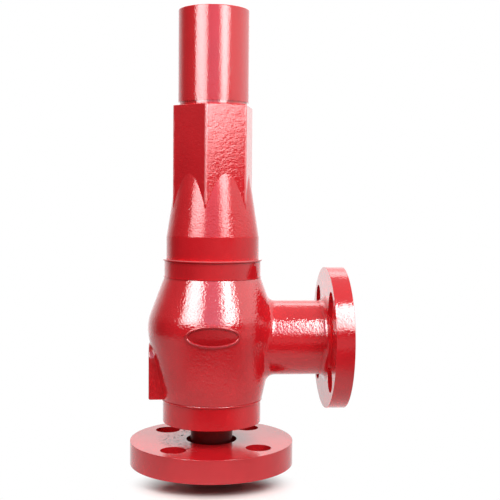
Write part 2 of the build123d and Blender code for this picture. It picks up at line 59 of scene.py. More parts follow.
# Places on the castings where the finish changes
LOWER_COLLAR_TOP = BODY_FOOT + 0.0167
UPPER_COLLAR_BOTTOM = GASKET_LOW - 0.0127
BAND_TOP = GASKET_HIGH + 0.017
HEXAGON_BOTTOM = BAND_TOP + 24 * MM
CONE_TOP = BAND_TOP + 28 * MM
HEXAGON_CORNER = 0.0316
OUTLET_FLANGE_BACK = OUTLET_REACH - 0.0154
NECK_SKIN = 0.0155
NECK_PAINT_LOW = 11 * MM
NECK_PAINT_HIGH = 42 * MM
OVAL_HEIGHT = 0.1119
OVAL_TURN = radians(-2.6)
OVAL_HALF_LENGTH = 0.0202
OVAL_HALF_WIDTH = 0.0083
BONNET_SEAT_RADIUS = 33.4 * MM
CAP_SEAT_RADIUS = 23.0 * MM
GRIT_INNER = 21 * MM
GRIT_OUTER = 40 * MM
GRIT_LEFT = (-8 * MM, -18 * MM)

# Paint, as it looks in plain light, and the painted highlight and painted shades mixed into it
ENAMEL_RED = (0.56, 0.012, 0.018, 1)
ENAMEL_DEEP = (0.40, 0.006, 0.010, 1)
ENAMEL_THIN = (0.66, 0.030, 0.034, 1)
# Pale enamel laid on as a painted highlight, on the hexagon's corners and on the gasket lips
ENAMEL_PAINTED_HIGHLIGHT = (0.80, 0.24, 0.25, 1)
ENAMEL_INDEX = 1.5
ENAMEL_GLOSS = 0.5
BONNET_GLOSS = 0.3
CAP_GLOSS = 0.34
# Multiplier that darkens the loose flange's outer rim as a painted shade
RIM_PAINTED_SHADE = (0.86, 0.95, 0.95, 1)
# Multiplier that darkens the nozzle's neck: partly a darker paint, partly a painted shade between flange and
# body
NECK_PAINT_AND_SHADE = (0.19, 0.16, 0.16, 1)
NECK_GLOSS = 0.2
# How strongly that painted highlight is mixed in
PAINTED_HIGHLIGHT_SHARE = 0.7
OVAL_RIM_DULLNESS = 0.22
GRIT_DULLNESS = 0.85
GRIT = (0.05, 0.006, 0.008, 1)
FIBRE_DARK = (0.20, 0.09, 0.05, 1)
FIBRE_LIGHT = (0.30, 0.16, 0.09, 1)
WHITE = (1, 1, 1, 1)

# Fineness of the finishes, in cells of noise a metre, and the levels between which they show
PEEL_SCALE = 560
GRAIN_SCALE = 1150
DOME_SCALE = 620
LUMP_SCALE = 250
SWELL_SCALE = 70
POOL_SCALE = 34
CORNER_SCALE = 130
GRIT_SCALE = 620
FIBRE_SCALE = 900
RING_WANDER_SCALE = 25
RING_STREAK_SCALE = 4000
GRIT_LEVELS = (0.615, 0.64)
POOL_LEVELS = (0.35, 0.75)
THIN_LEVELS = (0.62, 0.80)

# Camera, as the photograph's own circles give it: metres, degrees, and millimetres for its lens
CAMERA_DISTANCE = 0.73269
CAMERA_HEIGHT = 0.2134
CAMERA_AZIMUTH = -3.202
CAMERA_AIM = -2.214
CAMERA_TILT = 3.251
CAMERA_ROLL = 0.479
CAMERA_LENS = 69.69
CAMERA_SENSOR = 36
CAMERA_NEAREST = 0.01

# Softboxes beside the camera: where they stand, and how their light grows with height
SOFTBOX_DISTANCE = 0.46
SOFTBOX_LOW = 0.17
SOFTBOX_HIGH = 0.76
SOFTBOX_SLANT = 0.12
SOFTBOX_GLOW = ((0.17, 0.0), (0.22, 0.0), (0.265, 0.55), (0.33, 0.9), (0.45, 1.0), (0.76, 1.0))

# Lamps: the span of their height, their width, and the height that they face
LAMP_LOW = 0.45
LAMP_HIGH = 1.15
LAMP_WIDTH = 0.50
LAMP_TARGET = 0.17

# Tent and cloth on the floor, which only gloss shows
TENT_RADIUS = 0.55
TENT_HEIGHT = 0.95
TENT_STEPS = 96
TENT_COOL = (0.94, 0.97, 1.25, 1)
CROWN_GLOW = 4.0
CLOTH_INNER = 0.15
CLOTH_OUTER = TENT_RADIUS - 0.01
CLOTH_HEIGHT = 0.001
CLOTH_STEPS = 72

# The cloth's brightness in front, at the sides and behind, and the degrees and reach where it changes
CLOTH_DARK = 0.05
CLOTH_PALE = 0.75
CLOTH_BRIGHT = 0.35
DARK_TO_PALE = (22, 72)
PALE_TO_BRIGHT = (100, 140)
CLOTH_INNER_EDGE = 0.07

# Spans of height over which the tent changes from one ring of brightness to the next
LOW_TO_MIDDLE = (0.22, 0.34)
MIDDLE_TO_HIGH = (0.43, 0.52)
CROWN_RISE = (0.45, 0.75)

# Degrees aside over which the tent's bright crown begins and its cool front ends
CROWN_ASIDE = (120, 165)
COOL_ASIDE = (60, 25)

# The tent's brightness by degrees from the front, at three heights
TENT_LOW = (
    (-180, 1.5),
    (-135, 1.5),
    (-116, 0.25),
    (-100, 0.08),
    (-57, 0.10),
    (-30, 0.25),
    (0, 0.40),
    (46, 0.85),
    (75, 1.3),
    (110, 1.3),
    (135, 1.5),
    (180, 1.5),
)
TENT_MIDDLE = (
    (-180, 1.5),
    (-135, 1.4),
    (-116, 0.4),
    (-100, 0.25),
    (-60, 0.5),
    (-20, 2.8),
    (10, 3.4),
    (60, 3.2),
    (105, 3.0),
    (135, 1.7),
    (180, 1.5),
)
TENT_HIGH = (
    (-180, 1.5),
    (-135, 1.4),
    (-116, 0.35),
    (-100, 0.20),
    (-60, 0.25),
    (-20, 1.9),
    (10, 2.4),
    (60, 3.2),
    (105, 2.0),
    (135, 1.5),
    (180, 1.5),
)

# Even light of the room: its least, what it gains overhead, and where it gains
ROOM_LIGHT = 0.14
ROOM_LIGHT_ABOVE = 0.36
ROOM_RISE = (0.15, 0.65)

# Floor: its size, its colour from under the valve outwards, and where its shadow ends
FLOOR_HALF = 6.0
FLOOR_DROP = -0.02 * MM
# Dark floor colour under the valve, a painted shadow
FLOOR_PAINTED_SHADOW = (0.30, 0.26, 0.25, 1)
FLOOR_NEAR = (0.95, 0.90, 0.88, 1)
FLOOR_FAR = (0.36, 0.34, 0.33, 1)
PAINTED_SHADOW_TO_NEAR = (0.045, 0.075)
NEAR_TO_FAR = (0.12, 0.16)
SHADOW_AHEAD = 0.050
SHADOW_END = (0.034, 0.072)
FLOOR_ROUGHNESS = 0.6
FLOOR_GLOSS = 0.2


def link_or_set(tree, socket, value):
    """Links a socket to the socket that value is, or sets it to value."""
    if isinstance(value, bpy.types.NodeSocket):
        tree.links.new(value, socket)
    else:
        socket.default_value = value


def math_node(tree, operation, first, second=0.0, clamp=False):
    """A math node over two sockets or numbers, and its output."""
    node = tree.nodes.new("ShaderNodeMath")
    node.operation = operation
    node.use_clamp = clamp
    link_or_set(tree, node.inputs[0], first)
    link_or_set(tree, node.inputs[1], second)
    return node.outputs[0]


def plus(tree, first, second):
    """The sum of two sockets or numbers."""
    return math_node(tree, "ADD", first, second)


def minus(tree, first, second):
    """The first socket or number less the second."""
    return math_node(tree, "SUBTRACT", first, second)


def times(tree, first, second):
    """The product of two sockets or numbers."""
    return math_node(tree, "MULTIPLY", first, second)


def larger(tree, first, second):
    """The larger of two sockets or numbers."""
    return math_node(tree, "MAXIMUM", first, second)


def mix_colours(tree, share, first, second, blend="MIX"):
    """Mixes two colours, or socket colours, by a socket's share."""
    node = tree.nodes.new("ShaderNodeMix")
    node.data_type = "RGBA"
    node.blend_type = blend
    link_or_set(tree, node.inputs[0], share)
    link_or_set(tree, node.inputs[6], first)
    link_or_set(tree, node.inputs[7], second)
    return node.outputs[2]


def step_up(tree, value, start, end):
    """Goes smoothly from 0 to 1 as value goes from start to end."""
    node = tree.nodes.new("ShaderNodeMapRange")
    node.interpolation_type = "SMOOTHSTEP"
    tree.links.new(value, node.inputs["Value"])
    node.inputs["From Min"].default_value = start
    node.inputs["From Max"].default_value = end
    return node.outputs["Result"]


def band(tree, value, low, high, soft):
    """1 where value lies between low and high, with soft edges."""
    rise = step_up(tree, value, low - soft, low + soft)
    fall = step_up(tree, value, high + soft, high - soft)
    return times(tree, rise, fall)


def ramp(tree, value, stops):
    """A number that follows pairs of value and brightness, in straight lines between them."""
    first, last = stops[0][0], stops[-1][0]
    full = max(brightness for _, brightness in stops)
    share = tree.nodes.new("ShaderNodeMapRange")
    share.inputs["From Min"].default_value = first
    share.inputs["From Max"].default_value = last
    tree.links.new(value, share.inputs["Value"])
    node = tree.nodes.new("ShaderNodeValToRGB")
    elements = node.color_ramp.elements
    while len(elements) > 1:
        elements.remove(elements[-1])
    for index, (at, brightness) in enumerate(stops):
        position = (at - first) / (last - first)
        element = elements[0] if index == 0 else elements.new(position)
        element.position = position
        grey = brightness / full
        element.color = (grey, grey, grey, 1)
    tree.links.new(share.outputs["Result"], node.inputs[0])
    return times(tree, node.outputs[0], full)


def place(tree):
    """The point's place on its piece."""
    return tree.nodes.new("ShaderNodeTexCoord").outputs["Object"]


def coordinates(tree, where):
    """A place's three coordinates."""
    split = tree.nodes.new("ShaderNodeSeparateXYZ")
    tree.links.new(where, split.inputs[0])
    return split.outputs[0], split.outputs[1], split.outputs[2]


def distance_from_axis(tree, x, y):
    """Distance from an axis, by the two coordinates across it."""
    square = plus(tree, times(tree, x, x), times(tree, y, y))
    return math_node(tree, "SQRT", square)


def azimuth_from_front(tree, x, y):
    """Degrees about the spindle, from the front towards the outlet."""
    angle = math_node(tree, "ARCTAN2", x, times(tree, y, -1.0))
    return math_node(tree, "DEGREES", angle)


def noise(tree, where, scale, detail=2.0, roughness=0.5, distortion=0.0):
    """A noise texture's value at a place."""
    node = tree.nodes.new("ShaderNodeTexNoise")
    node.inputs["Scale"].default_value = scale
    node.inputs["Detail"].default_value = detail
    node.inputs["Roughness"].default_value = roughness
    node.inputs["Distortion"].default_value = distortion
    tree.links.new(where, node.inputs["Vector"])
    return node.outputs["Fac"]


def new_group(name, inputs, outputs):
    """An empty node group with named float, colour or vector sockets."""
    group = bpy.data.node_groups.new(name, "ShaderNodeTree")
    kinds = {"value": "NodeSocketFloat", "colour": "NodeSocketColor", "vector": "NodeSocketVector"}
    for label, kind, default in inputs:
        socket = group.interface.new_socket(label, in_out="INPUT", socket_type=kinds[kind])
        socket.default_value = default
    for label, kind in outputs:
        group.interface.new_socket(label, in_out="OUTPUT", socket_type=kinds[kind])
    source = group.nodes.new("NodeGroupInput")
    target = group.nodes.new("NodeGroupOutput")
    return group, source.outputs, target.inputs


def place_group(tree, group, **values):
    """A placed node group, with its own values or linked sockets."""
    node = tree.nodes.new("ShaderNodeGroup")
    node.node_tree = group
    for name, value in values.items():
        link_or_set(tree, node.inputs[name.replace("_", " ")], value)
    return node


def make_enamel_skin():
    """Thick sprayed enamel: orange peel, the cast skin under it, and paint that pools and thins."""
    group, given, out = new_group(
        "enamel skin",
        [
            ("Place", "vector", (0, 0, 0)),
            ("Flatten", "value", 1.0),
            ("Cast Skin", "value", 1.0),
            ("Peel", "value", 1.0),
            ("Domes", "value", 0.0),
            ("Pool", "value", 0.5),
        ],
        [("Height", "value"), ("Shade", "colour"), ("Roughness", "value")],
    )
    stretch = group.nodes.new("ShaderNodeCombineXYZ")
    stretch.inputs["X"].default_value = 1.0
    stretch.inputs["Y"].default_value = 1.0
    group.links.new(given["Flatten"], stretch.inputs["Z"])
    flatten = group.nodes.new("ShaderNodeVectorMath")
    flatten.operation = "MULTIPLY"
    group.links.new(given["Place"], flatten.inputs[0])
    group.links.new(stretch.outputs[0], flatten.inputs[1])
    flat = flatten.outputs[0]

    # Height: fine peel and grain, coarse lumps of the casting, and small domes of paint
    peel = noise(group, flat, PEEL_SCALE, 1.0, 0.5)
    grain = noise(group, flat, GRAIN_SCALE, 0.0)
    lumps = noise(group, flat, LUMP_SCALE, 1.5, 0.5, 0.3)
    swell = noise(group, given["Place"], SWELL_SCALE, 1.0)
    fine = times(group, plus(group, peel, times(group, grain, 0.45)), given["Peel"])
    coarse = times(group, plus(group, lumps, swell), times(group, given["Cast Skin"], 2.0))
    cells = group.nodes.new("ShaderNodeTexVoronoi")
    cells.inputs["Scale"].default_value = DOME_SCALE
    group.links.new(flat, cells.inputs["Vector"])
    fall = times(group, cells.outputs["Distance"], cells.outputs["Distance"])
    fall = times(group, fall, given["Domes"])
    group.links.new(minus(group, plus(group, fine, coarse), fall), out["Height"])

    # Colour: deeper where the paint pools, lighter where it thins over the lumps
    deep = step_up(group, noise(group, given["Place"], POOL_SCALE, 3.0), *POOL_LEVELS)
    shade = mix_colours(group, times(group, deep, given["Pool"]), ENAMEL_RED, ENAMEL_DEEP)
    thin = step_up(group, lumps, *THIN_LEVELS)
    thin = times(group, thin, times(group, given["Cast Skin"], 0.35))
    group.links.new(mix_colours(group, thin, shade, ENAMEL_THIN), out["Shade"])
    group.links.new(plus(group, 0.04, times(group, swell, 0.06)), out["Roughness"])
    return group


def make_turned_rings():
    """Fine tool marks of a lathe, as rings about an axis, with small uneven depth."""
    group, given, out = new_group(
        "turned rings",
        [("Along", "value", 0.0), ("Place", "vector", (0, 0, 0)), ("Pitch", "value", 0.0004)],
        [("Height", "value"), ("Mark", "value")],
    )
    phase = math_node(group, "DIVIDE", given["Along"], given["Pitch"])
    phase = plus(group, phase, noise(group, given["Place"], RING_WANDER_SCALE, 1.0))
    wave = math_node(group, "SINE", times(group, phase, 2 * pi))
    group.links.new(times(group, wave, 0.5), out["Height"])
    streak = group.nodes.new("ShaderNodeTexNoise")
    streak.noise_dimensions = "1D"
    streak.inputs["Scale"].default_value = 1.0
    streak.inputs["Detail"].default_value = 3.0
    group.links.new(times(group, given["Along"], RING_STREAK_SCALE), streak.inputs["W"])
    group.links.new(streak.outputs["Fac"], out["Mark"])
    return group


ENAMEL_SKIN = make_enamel_skin()
TURNED_RINGS = make_turned_rings()


def new_material(name):
    """A material with its shader and output, and nothing else."""
    material = bpy.data.materials.new(name)
    material.use_nodes = True
    tree = material.node_tree
    tree.nodes.clear()
    shader = tree.nodes.new("ShaderNodeBsdfPrincipled")
    output = tree.nodes.new("ShaderNodeOutputMaterial")
    tree.links.new(shader.outputs[0], output.inputs["Surface"])
    return material, tree, shader


def set_bump(tree, shader, height, depth):
    """Bumps the shader's normal by a height socket, to a depth in metres."""
    bump = tree.nodes.new("ShaderNodeBump")
    bump.inputs["Strength"].default_value = 1.0
    bump.inputs["Distance"].default_value = depth
    tree.links.new(height, bump.inputs["Height"])
    tree.links.new(bump.outputs[0], shader.inputs["Normal"])


def finish_enamel(shader, gloss=ENAMEL_GLOSS):
    """The gloss of hard enamel."""
    shader.inputs["IOR"].default_value = ENAMEL_INDEX
    shader.inputs["Specular IOR Level"].default_value = gloss


def oval_masks(tree, x, y, z):
    """Masks of the bare oval on the belly's front: all that its rim encloses, darkened as a painted shade,
    and the rim alone.
    """
    along = plus(tree, times(tree, x, cos(OVAL_TURN)), times(tree, y, sin(OVAL_TURN)))
    along = math_node(tree, "DIVIDE", along, OVAL_HALF_LENGTH)
    up = math_node(tree, "DIVIDE", minus(tree, z, OVAL_HEIGHT), OVAL_HALF_WIDTH)
    reach = distance_from_axis(tree, along, up)
    front = math_node(tree, "LESS_THAN", y, 0.0)
    oval_field_shade = times(tree, step_up(tree, reach, 1.06, 0.98), front)
    rim = times(tree, band(tree, reach, 0.86, 1.00, 0.05), front)
    return oval_field_shade, rim


def body_enamel():
    """Enamel of the body: cast skin on belly and neck, smooth on collars, flange rim and oval, with the
    oval's field darkened as a painted shade.
    """
    material, tree, shader = new_material("body_enamel")
    where = place(tree)
    x, y, z = coordinates(tree, where)
    edge = 0.4 * MM
    lower_collar = step_up(tree, z, LOWER_COLLAR_TOP + edge, LOWER_COLLAR_TOP - edge)
    upper_collar = step_up(tree, z, UPPER_COLLAR_BOTTOM - edge, UPPER_COLLAR_BOTTOM + edge)
    flange_rim = step_up(tree, x, OUTLET_FLANGE_BACK - edge, OUTLET_FLANGE_BACK + edge)
    turned = larger(tree, larger(tree, lower_collar, upper_collar), flange_rim)
    cast = minus(tree, 1.0, times(tree, turned, 0.85))
    oval_field_shade, rim = oval_masks(tree, x, y, z)
    domes = times(tree, step_up(tree, cast, 0.3, 0.9), minus(tree, 1.0, oval_field_shade))
    skin = place_group(
        tree,
        ENAMEL_SKIN,
        Place=where,
        Flatten=1.0,
        Cast_Skin=times(tree, cast, 0.45),
        Peel=1.3,
        Domes=times(tree, domes, 0.9),
        Pool=0.5,
    )
    # Painted shade: the oval's field is darkened to the deep enamel red
    shade = mix_colours(tree, oval_field_shade, skin.outputs["Shade"], ENAMEL_DEEP)
    tree.links.new(shade, shader.inputs["Base Color"])
    rough = plus(tree, skin.outputs["Roughness"], times(tree, rim, OVAL_RIM_DULLNESS))
    tree.links.new(rough, shader.inputs["Roughness"])
    set_bump(tree, shader, skin.outputs["Height"], depth=0.085 * MM)
    finish_enamel(shader)
    return material


def bonnet_enamel():
    """Enamel of the bonnet: wrinkled hexagon and cone over a smooth band, with a painted highlight along the
    hexagon's corners.
    """
    material, tree, shader = new_material("bonnet_enamel")
    where = place(tree)
    x, y, z = coordinates(tree, where)
    cast = step_up(tree, z, BAND_TOP - 0.3 * MM, BAND_TOP + 0.6 * MM)
    cone = times(tree, cast, step_up(tree, z, CONE_TOP + 12 * MM, CONE_TOP))
    skin = place_group(
        tree,
        ENAMEL_SKIN,
        Place=where,
        Flatten=1.5,
        Cast_Skin=cast,
        Peel=1.2,
        Domes=plus(tree, 0.6, times(tree, cone, 0.8)),
        Pool=0.4,
    )
    far = distance_from_axis(tree, x, y)
    # Painted highlight: a pale wavy line along the hexagon's corners, mixed into the colour
    wavy = plus(tree, far, times(tree, noise(tree, where, CORNER_SCALE, 1.0), 0.7 * MM))
    corner = step_up(tree, wavy, HEXAGON_CORNER - 0.25 * MM, HEXAGON_CORNER + 0.15 * MM)
    corner = times(tree, corner, step_up(tree, z, HEXAGON_BOTTOM, CONE_TOP))
    shade = mix_colours(tree, times(tree, corner, PAINTED_HIGHLIGHT_SHARE), skin.outputs["Shade"], ENAMEL_PAINTED_HIGHLIGHT)
    tree.links.new(shade, shader.inputs["Base Color"])
    dull = plus(tree, skin.outputs["Roughness"], times(tree, cast, 0.08))
    tree.links.new(dull, shader.inputs["Roughness"])
    set_bump(tree, shader, skin.outputs["Height"], depth=0.05 * MM)
    finish_enamel(shader, BONNET_GLOSS)
    return material


def cap_enamel():
    """Enamel of the cap: even, with a fine peel."""
    material, tree, shader = new_material("cap_enamel")
    where = place(tree)
    skin = place_group(
        tree, ENAMEL_SKIN, Place=where, Flatten=1.4, Cast_Skin=0.2, Peel=1.3, Domes=0.9, Pool=0.3
    )
    tree.links.new(skin.outputs["Shade"], shader.inputs["Base Color"])
    tree.links.new(skin.outputs["Roughness"], shader.inputs["Roughness"])
    set_bump(tree, shader, skin.outputs["Height"], depth=0.06 * MM)
    finish_enamel(shader, CAP_GLOSS)
    return material


def flange_enamel():
    """Enamel of the loose flange: turned faces, its outer rim darkened as a painted shade, and dark specks of
    grit near the neck.
    """
    material, tree, shader = new_material("flange_enamel")
    where = place(tree)
    x, y, z = coordinates(tree, where)
    skin = place_group(tree, ENAMEL_SKIN, Place=where, Cast_Skin=0.2, Peel=0.7, Pool=0.4)
    far = distance_from_axis(tree, x, y)
    top = step_up(tree, z, FLANGE_TOP - 0.6 * MM, FLANGE_TOP - 0.2 * MM)
    near = band(tree, far, GRIT_INNER, GRIT_OUTER, 4 * MM)
    left = step_up(tree, x, *GRIT_LEFT)
    specks = step_up(tree, noise(tree, where, GRIT_SCALE, 1.0, 0.6), *GRIT_LEVELS)
    grit = times(tree, specks, times(tree, top, times(tree, near, left)))
    # Painted shade: the outer rim's colour is multiplied darker
    outer = step_up(tree, far, FLANGE_RADIUS - 0.8 * MM, FLANGE_RADIUS - 0.3 * MM)
    shade = mix_colours(tree, outer, skin.outputs["Shade"], RIM_PAINTED_SHADE, "MULTIPLY")
    shade = mix_colours(tree, grit, shade, GRIT)
    tree.links.new(shade, shader.inputs["Base Color"])
    rough = plus(tree, skin.outputs["Roughness"], times(tree, grit, GRIT_DULLNESS))
    tree.links.new(rough, shader.inputs["Roughness"])
    set_bump(tree, shader, skin.outputs["Height"], depth=0.08 * MM)
    finish_enamel(shader)
    return material


def gasket_edge(name, rim, highlight_above):
    """Bare fibre inside a rim's radius, and enamel outside it, made pale above a height as a painted
    highlight.
    """
    material, tree, shader = new_material(name)
    where = place(tree)
    x, y, z = coordinates(tree, where)
    far = distance_from_axis(tree, x, y)
    inner = step_up(tree, far, rim, rim - 0.8 * MM)
    skin = place_group(tree, ENAMEL_SKIN, Place=where, Cast_Skin=0.8, Peel=1.0, Pool=0.8)
    fibre = mix_colours(tree, noise(tree, where, FIBRE_SCALE, 3.0), FIBRE_DARK, FIBRE_LIGHT)
    # Painted highlight: the enamel above the given height is mixed towards pale enamel
    highlight_mask = times(tree, step_up(tree, z, highlight_above, highlight_above + 0.3 * MM), PAINTED_HIGHLIGHT_SHARE)
    enamel = mix_colours(tree, highlight_mask, skin.outputs["Shade"], ENAMEL_PAINTED_HIGHLIGHT)
    tree.links.new(mix_colours(tree, inner, enamel, fibre), shader.inputs["Base Color"])
    tree.links.new(skin.outputs["Roughness"], shader.inputs["Roughness"])
    set_bump(tree, shader, skin.outputs["Height"], depth=0.12 * MM)
    finish_enamel(shader)
    return material


def nozzle_steel():
    """Stainless nozzle: bare and turned, with enamel on the neck between flange and body, darkened partly as
    a darker paint and partly as a painted shade.
    """
    material, tree, shader = new_material("nozzle_steel")
    where = place(tree)
    x, y, z = coordinates(tree, where)
    far = distance_from_axis(tree, x, y)
    outside = step_up(tree, far, NECK_SKIN - 0.2 * MM, NECK_SKIN)
    painted = times(tree, outside, band(tree, z, NECK_PAINT_LOW, NECK_PAINT_HIGH, 0.5 * MM))
    rings = place_group(tree, TURNED_RINGS, Along=far, Place=where, Pitch=0.8 * MM)
    skin = place_group(tree, ENAMEL_SKIN, Place=where, Cast_Skin=0.2, Peel=0.8, Pool=0.6)
    # Darker paint and painted shade on the neck's enamel
    neck_paint_and_shade = mix_colours(tree, 1.0, skin.outputs["Shade"], NECK_PAINT_AND_SHADE, "MULTIPLY")
    steel = mix_colours(tree, rings.outputs["Mark"], (0.50, 0.49, 0.47, 1), (0.66, 0.65, 0.62, 1))
    tree.links.new(mix_colours(tree, painted, steel, neck_paint_and_shade), shader.inputs["Base Color"])
    tree.links.new(minus(tree, 1.0, painted), shader.inputs["Metallic"])
    rough = plus(tree, 0.20, times(tree, rings.outputs["Mark"], 0.15))
    tree.links.new(rough, shader.inputs["Roughness"])
    shader.inputs["Specular IOR Level"].default_value = NECK_GLOSS
    set_bump(tree, shader, rings.outputs["Height"], depth=0.02 * MM)
    return material


def turned_steel(name, dark, light, roughness, pitch):
    """Bare turned steel with tool marks along its height."""
    material, tree, shader = new_material(name)
    where = place(tree)
    height = coordinates(tree, where)[2]
    rings = place_group(tree, TURNED_RINGS, Along=height, Place=where, Pitch=pitch)
    tree.links.new(mix_colours(tree, rings.outputs["Mark"], dark, light), shader.inputs["Base Color"])
    rough = plus(tree, roughness, times(tree, rings.outputs["Mark"], 0.14))
    tree.links.new(rough, shader.inputs["Roughness"])
    shader.inputs["Metallic"].default_value = 1.0
    set_bump(tree, shader, rings.outputs["Height"], depth=0.02 * MM)
    return material


def mottled(name, dark, light, roughness, metal, scale):
    """A dull surface with a fine uneven colour, such as phosphated wire or pressed graphite."""
    material, tree, shader = new_material(name)
    where = place(tree)
    patch = noise(tree, where, scale, 4.0, 0.6)
    shade = mix_colours(tree, step_up(tree, patch, 0.3, 0.7), dark, light)
    tree.links.new(shade, shader.inputs["Base Color"])
    rough = plus(tree, roughness, times(tree, patch, 0.2))
    tree.links.new(rough, shader.inputs["Roughness"])
    shader.inputs["Metallic"].default_value = metal
    set_bump(tree, shader, patch, depth=0.03 * MM)
    return material


def dress_nodes():
    """Gives every piece its finish."""
    steel = turned_steel("bright_turned_steel", (0.46, 0.45, 0.44, 1), (0.66, 0.65, 0.63, 1), 0.22, 0.35 * MM)
    lapped = turned_steel("lapped_stainless", (0.62, 0.62, 0.60, 1), (0.74, 0.74, 0.72, 1), 0.10, 0.15 * MM)
    zinc = mottled("zinc_plate", (0.50, 0.49, 0.44, 1), (0.68, 0.66, 0.58, 1), 0.25, 1.0, 300)
    wire = mottled("phosphated_wire", (0.05, 0.05, 0.055, 1), (0.13, 0.13, 0.135, 1), 0.38, 0.7, 500)
    graphite = mottled("pressed_graphite", (0.04, 0.04, 0.045, 1), (0.10, 0.10, 0.11, 1), 0.50, 0.0, 700)
    # The bonnet gasket's lip gets its painted highlight above its middle
    lip_middle = (GASKET_LOW + GASKET_HIGH) / 2
    finishes = {
        "body": body_enamel(),
        "bonnet": bonnet_enamel(),
        "cap": cap_enamel(),
        "inlet_flange": flange_enamel(),
        "bonnet_gasket": gasket_edge("bonnet_gasket_edge", BONNET_SEAT_RADIUS, lip_middle),
        "cap_gasket": gasket_edge("cap_gasket_edge", CAP_SEAT_RADIUS, CAP_FOOT),
        "inlet_nozzle": nozzle_steel(),
        "nozzle_gasket": graphite,
        "drain_seal": graphite,
        "lock_screw_seal": graphite,
        "drain_plug": zinc,
        "ring_lock_screw": zinc,
        "lock_nut": zinc,
        "lower_spring_washer": zinc,
        "upper_spring_washer": zinc,
        "spring": wire,
        "disc_snap_ring": wire,
        "spindle_key_ring": wire,
        "disc": lapped,
        "blowdown_ring": steel,
        "guide": steel,
        "disc_holder": steel,
        "spindle": steel,
        "spindle_collar": steel,
        "adjusting_screw": steel,
    }
    slots = {part["node"]: part["material_slot"] for part in frame["record"]["subparts"]}
    for name, material in finishes.items():
        piece = NODES[name]
        piece.data.materials.clear()
        piece.data.materials.append(material)
        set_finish(piece, slots[name])


def halve_spring():
    """The spring in two halves that meet at half height, each closed where it is cut."""
    low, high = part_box("spring")
    middle = Vector((0, 0, (low.z + high.z) / 2))
    whole = NODES["spring"]
    halves = (
        ("spring_lower_half", "lifting_set", low.z, 1),
        ("spring_upper_half", "upper_washer", high.z, -1),
    )
    for name, body, end, cut_side in halves:
        half = bpy.data.objects.new(name, whole.data.copy())
        bpy.context.scene.collection.objects.link(half)
        shape = bmesh.new()
        shape.from_mesh(half.data)
        everything = [*shape.verts, *shape.edges, *shape.faces]
        cut = bmesh.ops.bisect_plane(
            shape, geom=everything, dist=1e-7, plane_co=middle, plane_no=(0, 0, cut_side), clear_outer=True
        )
        rim = [part for part in cut["geom_cut"] if isinstance(part, bmesh.types.BMEdge)]
        bmesh.ops.triangle_fill(shape, edges=rim, use_beauty=True)
        bmesh.ops.recalc_face_normals(shape, faces=shape.faces)
        shape.to_mesh(half.data)
        shape.free()
        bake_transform(half)
        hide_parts("spring")
        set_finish(half, whole["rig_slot"])


def around_valve(azimuth, distance, height):
    """A place at an azimuth in degrees from the front, seen from above the spindle."""
    angle = radians(azimuth)
    return sin(angle) * distance, -cos(angle) * distance, height


def make_camera():
    """The photograph's viewpoint: a little left of the front, above the outlet, level with the bonnet."""
    heading = radians(CAMERA_AZIMUTH + CAMERA_AIM)
    tilt = radians(CAMERA_TILT)
    roll = radians(CAMERA_ROLL)
    forward = Vector((-sin(heading) * cos(tilt), cos(heading) * cos(tilt), -sin(tilt)))
    level = Vector((cos(heading), sin(heading), 0))
    right = level * cos(roll) + level.cross(forward) * sin(roll)
    up = right.cross(forward)
    turn = Matrix((right, up, -forward)).transposed()
    lens = bpy.data.cameras.new("studio_camera")
    lens.sensor_width = CAMERA_SENSOR
    lens.lens = CAMERA_LENS
    lens.clip_start = CAMERA_NEAREST
    camera = bpy.data.objects.new("studio_camera", lens)
    station = around_valve(CAMERA_AZIMUTH, CAMERA_DISTANCE, CAMERA_HEIGHT)
    camera.matrix_world = Matrix.Translation(station) @ turn.to_4x4()
    bpy.context.scene.collection.objects.link(camera)
    bpy.context.scene.camera = camera


def mirror_only(panel):
    """Keeps a panel out of sight and out of the light, apart from its mirror image in gloss."""
    panel.visible_camera = False
    panel.visible_diffuse = False
    panel.visible_transmission = False
    panel.visible_shadow = False
    bpy.context.scene.collection.objects.link(panel)


def glowing(name):
    """A material that only glows, with its emission shader."""
    material = bpy.data.materials.new(name)
    material.use_nodes = True
    tree = material.node_tree
    tree.nodes.clear()
    glow = tree.nodes.new("ShaderNodeEmission")
    output = tree.nodes.new("ShaderNodeOutputMaterial")
    tree.links.new(glow.outputs[0], output.inputs["Surface"])
    return material, tree, glow


def sheet_mesh(name, half_width, half_length, upright):
    """A flat rectangle about its own middle, upright or lying down."""
    signs = ((-1, -1), (1, -1), (1, 1), (-1, 1))
    corners = [(a * half_width, b * half_length) for a, b in signs]
    points = [(a, 0, b) if upright else (a, b, 0) for a, b in corners]
    mesh = bpy.data.meshes.new(name)
    mesh.from_pydata(points, [], [(0, 1, 2, 3)])
    return mesh


def ring_mesh(name, steps, rims):
    """A closed band between two circles about the spindle, each given by its radius and height."""
    angles = [2 * pi * i / steps for i in range(steps)]
    points = [(sin(a) * radius, -cos(a) * radius, height) for radius, height in rims for a in angles]
    faces = [(i, (i + 1) % steps, steps + (i + 1) % steps, steps + i) for i in range(steps)]
    mesh = bpy.data.meshes.new(name)
    mesh.from_pydata(points, [], faces)
    return mesh


def softbox_glow(width, outer, dimming, strength):
    """A softbox's face: weaker towards its sides, with a foot that may rise on its outer side."""
    material, tree, glow = glowing("softbox_face")
    x, _, z = coordinates(tree, place(tree))
    across = math_node(tree, "DIVIDE", x, width / 2)
    side = times(tree, times(tree, across, across), dimming)
    outwards = larger(tree, times(tree, across, outer), 0.0)
    height = plus(tree, z, (SOFTBOX_LOW + SOFTBOX_HIGH) / 2)
    height = minus(tree, height, times(tree, outwards, SOFTBOX_SLANT))
    fade = times(tree, minus(tree, 1.0, side), ramp(tree, height, SOFTBOX_GLOW))
    tree.links.new(times(tree, fade, strength), glow.inputs["Strength"])
    return material


